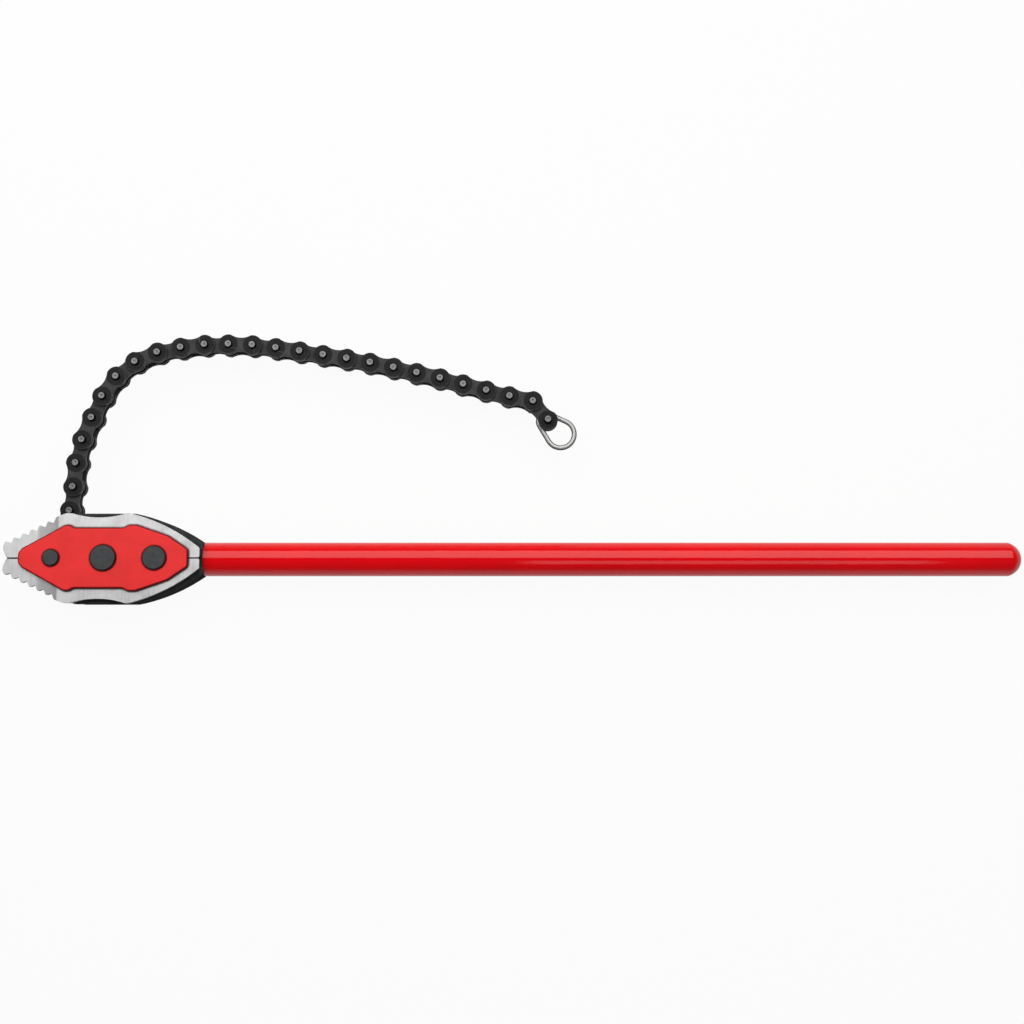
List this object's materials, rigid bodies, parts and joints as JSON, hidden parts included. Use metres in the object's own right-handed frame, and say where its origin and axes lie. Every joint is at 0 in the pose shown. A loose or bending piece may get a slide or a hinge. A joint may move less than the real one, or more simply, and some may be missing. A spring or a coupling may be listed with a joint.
{
  "type": "chain pipe wrench",
  "caption": "Chain pipe wrench with a long round bar handle, riveted double-ended toothed jaws and a hinged link chain that wraps a pipe, with a wire pull ring at its end.",
  "frame": {"origin": "where the axis of the handle bar leaves the rear face of the head", "axes": "+X along the handle towards its tip, +Z out of the face of the head that looks up when the wrench lies flat, +Y towards the side where the chain lies"},
  "size_m": [1.066, 0.2868, 0.0602],
  "materials": {
    "red_enamel": "gloss enamel",
    "red_paint": "satin paint",
    "ground_steel": "ground and milled",
    "black_forging": "black oxide over a forged skin",
    "black_rivet": "black oxide, turned",
    "black_chain": "oiled black oxide",
    "pin_steel": "worn bright ends",
    "bright_wire": "drawn and polished wire"
  },
  "bodies": {
    "wrench": {"handle_bar": "red_enamel", "head_body": "black_forging", "jaw_front_upper": "ground_steel", "jaw_front_lower": "ground_steel", "jaw_back_upper": "ground_steel", "jaw_back_lower": "ground_steel", "cover_plate_front": "red_paint", "cover_plate_back": "red_paint", "anchor_rivet": "black_rivet", "center_rivet": "black_rivet", "rear_rivet": "black_rivet"},
    "anchor_link": {"anchor_link": "black_chain"},
    "outer_link_01": {"outer_link_01": "black_chain", "link_pins_01": "pin_steel"},
    "inner_link_02": {"inner_link_02": "black_chain"},
    "outer_link_03": {"outer_link_03": "black_chain", "link_pins_03": "pin_steel"},
    "inner_link_04": {"inner_link_04": "black_chain"},
    "outer_link_05": {"outer_link_05": "black_chain", "link_pins_05": "pin_steel"},
    "inner_link_06": {"inner_link_06": "black_chain"},
    "outer_link_07": {"outer_link_07": "black_chain", "link_pins_07": "pin_steel"},
    "inner_link_08": {"inner_link_08": "black_chain"},
    "outer_link_09": {"outer_link_09": "black_chain", "link_pins_09": "pin_steel"},
    "inner_link_10": {"inner_link_10": "black_chain"},
    "outer_link_11": {"outer_link_11": "black_chain", "link_pins_11": "pin_steel"},
    "inner_link_12": {"inner_link_12": "black_chain"},
    "outer_link_13": {"outer_link_13": "black_chain", "link_pins_13": "pin_steel"},
    "inner_link_14": {"inner_link_14": "black_chain"},
    "outer_link_15": {"outer_link_15": "black_chain", "link_pins_15": "pin_steel"},
    "inner_link_16": {"inner_link_16": "black_chain"},
    "outer_link_17": {"outer_link_17": "black_chain", "link_pins_17": "pin_steel"},
    "inner_link_18": {"inner_link_18": "black_chain"},
    "outer_link_19": {"outer_link_19": "black_chain", "link_pins_19": "pin_steel"},
    "inner_link_20": {"inner_link_20": "black_chain"},
    "outer_link_21": {"outer_link_21": "black_chain", "link_pins_21": "pin_steel"},
    "inner_link_22": {"inner_link_22": "black_chain"},
    "outer_link_23": {"outer_link_23": "black_chain", "link_pins_23": "pin_steel"},
    "inner_link_24": {"inner_link_24": "black_chain"},
    "outer_link_25": {"outer_link_25": "black_chain", "link_pins_25": "pin_steel"},
    "inner_link_26": {"inner_link_26": "black_chain", "end_pin": "pin_steel"},
    "pull_ring": {"pull_ring": "bright_wire"}
  },
  "joints": [
    {"name": "anchor_swing", "type": "hinge", "parent": "wrench", "child": "anchor_link", "pos_m": [-0.155, 0, 0], "axis": [0, 0, 1], "range_deg": [-2, 180]},
    {"name": "link_01_bend", "type": "hinge", "parent": "anchor_link", "child": "outer_link_01", "pos_m": [-0.14842, 0.02639, 0], "axis": [0, 0, -1], "range_deg": [-36, 5]},
    {"name": "link_02_bend", "type": "hinge", "parent": "outer_link_01", "child": "inner_link_02", "pos_m": [-0.14228, 0.05104, 0], "axis": [0, 0, 1], "range_deg": [-9, 36]},
    {"name": "link_03_bend", "type": "hinge", "parent": "inner_link_02", "child": "outer_link_03", "pos_m": [-0.13962, 0.0763, 0], "axis": [0, 0, -1], "range_deg": [-36, 9]},
    {"name": "link_04_bend", "type": "hinge", "parent": "outer_link_03", "child": "inner_link_04", "pos_m": [-0.13741, 0.1016, 0], "axis": [0, 0, 1], "range_deg": [-9, 36]},
    {"name": "link_05_bend", "type": "hinge", "parent": "inner_link_04", "child": "outer_link_05", "pos_m": [-0.13169, 0.12635, 0], "axis": [0, 0, -1], "range_deg": [-36, 9]},
    {"name": "link_06_bend", "type": "hinge", "parent": "outer_link_05", "child": "inner_link_06", "pos_m": [-0.12218, 0.1499, 0], "axis": [0, 0, 1], "range_deg": [-9, 36]},
    {"name": "link_07_bend", "type": "hinge", "parent": "inner_link_06", "child": "outer_link_07", "pos_m": [-0.11185, 0.17311, 0], "axis": [0, 0, -1], "range_deg": [-36, 9]},
    {"name": "link_08_bend", "type": "hinge", "parent": "outer_link_07", "child": "inner_link_08", "pos_m": [-0.09764, 0.19416, 0], "axis": [0, 0, 1], "range_deg": [-9, 36]},
    {"name": "link_09_bend", "type": "hinge", "parent": "inner_link_08", "child": "outer_link_09", "pos_m": [-0.0779, 0.21015, 0], "axis": [0, 0, -1], "range_deg": [-36, 9]},
    {"name": "link_10_bend", "type": "hinge", "parent": "outer_link_09", "child": "inner_link_10", "pos_m": [-0.05452, 0.22007, 0], "axis": [0, 0, 1], "range_deg": [-12, 36]},
    {"name": "link_11_bend", "type": "hinge", "parent": "inner_link_10", "child": "outer_link_11", "pos_m": [-0.02968, 0.22535, 0], "axis": [0, 0, -1], "range_deg": [-36, 12]},
    {"name": "link_12_bend", "type": "hinge", "parent": "outer_link_11", "child": "inner_link_12", "pos_m": [-0.00447, 0.22845, 0], "axis": [0, 0, 1], "range_deg": [-12, 36]},
    {"name": "link_13_bend", "type": "hinge", "parent": "inner_link_12", "child": "outer_link_13", "pos_m": [0.02093, 0.22889, 0], "axis": [0, 0, -1], "range_deg": [-36, 12]},
    {"name": "link_14_bend", "type": "hinge", "parent": "outer_link_13", "child": "inner_link_14", "pos_m": [0.04631, 0.22801, 0], "axis": [0, 0, 1], "range_deg": [-16, 36]},
    {"name": "link_15_bend", "type": "hinge", "parent": "inner_link_14", "child": "outer_link_15", "pos_m": [0.07153, 0.22491, 0], "axis": [0, 0, -1], "range_deg": [-36, 16]},
    {"name": "link_16_bend", "type": "hinge", "parent": "outer_link_15", "child": "inner_link_16", "pos_m": [0.09668, 0.22137, 0], "axis": [0, 0, 1], "range_deg": [-16, 36]},
    {"name": "link_17_bend", "type": "hinge", "parent": "inner_link_16", "child": "outer_link_17", "pos_m": [0.12176, 0.2174, 0], "axis": [0, 0, -1], "range_deg": [-36, 22]},
    {"name": "link_18_bend", "type": "hinge", "parent": "outer_link_17", "child": "inner_link_18", "pos_m": [0.14685, 0.21343, 0], "axis": [0, 0, 1], "range_deg": [-22, 36]},
    {"name": "link_19_bend", "type": "hinge", "parent": "inner_link_18", "child": "outer_link_19", "pos_m": [0.17187, 0.20902, 0], "axis": [0, 0, -1], "range_deg": [-36, 28]},
    {"name": "link_20_bend", "type": "hinge", "parent": "outer_link_19", "child": "inner_link_20", "pos_m": [0.19671, 0.20374, 0], "axis": [0, 0, 1], "range_deg": [-28, 36]},
    {"name": "link_21_bend", "type": "hinge", "parent": "inner_link_20", "child": "outer_link_21", "pos_m": [0.22146, 0.19802, 0], "axis": [0, 0, -1], "range_deg": [-36, 36]},
    {"name": "link_22_bend", "type": "hinge", "parent": "outer_link_21", "child": "inner_link_22", "pos_m": [0.24621, 0.19231, 0], "axis": [0, 0, 1], "range_deg": [-36, 36]},
    {"name": "link_23_bend", "type": "hinge", "parent": "inner_link_22", "child": "outer_link_23", "pos_m": [0.27074, 0.18574, 0], "axis": [0, 0, -1], "range_deg": [-36, 36]},
    {"name": "link_24_bend", "type": "hinge", "parent": "outer_link_23", "child": "inner_link_24", "pos_m": [0.29528, 0.17916, 0], "axis": [0, 0, 1], "range_deg": [-36, 36]},
    {"name": "link_25_bend", "type": "hinge", "parent": "inner_link_24", "child": "outer_link_25", "pos_m": [0.31992, 0.17302, 0], "axis": [0, 0, -1], "range_deg": [-36, 36]},
    {"name": "link_26_bend", "type": "hinge", "parent": "outer_link_25", "child": "inner_link_26", "pos_m": [0.34477, 0.16773, 0], "axis": [0, 0, 1], "range_deg": [-36, 36]},
    {"name": "ring_swing", "type": "hinge", "parent": "inner_link_26", "child": "pull_ring", "pos_m": [0.36075, 0.148, 0], "axis": [0, 0, 1], "range_deg": [-85, 85]}
  ]
}
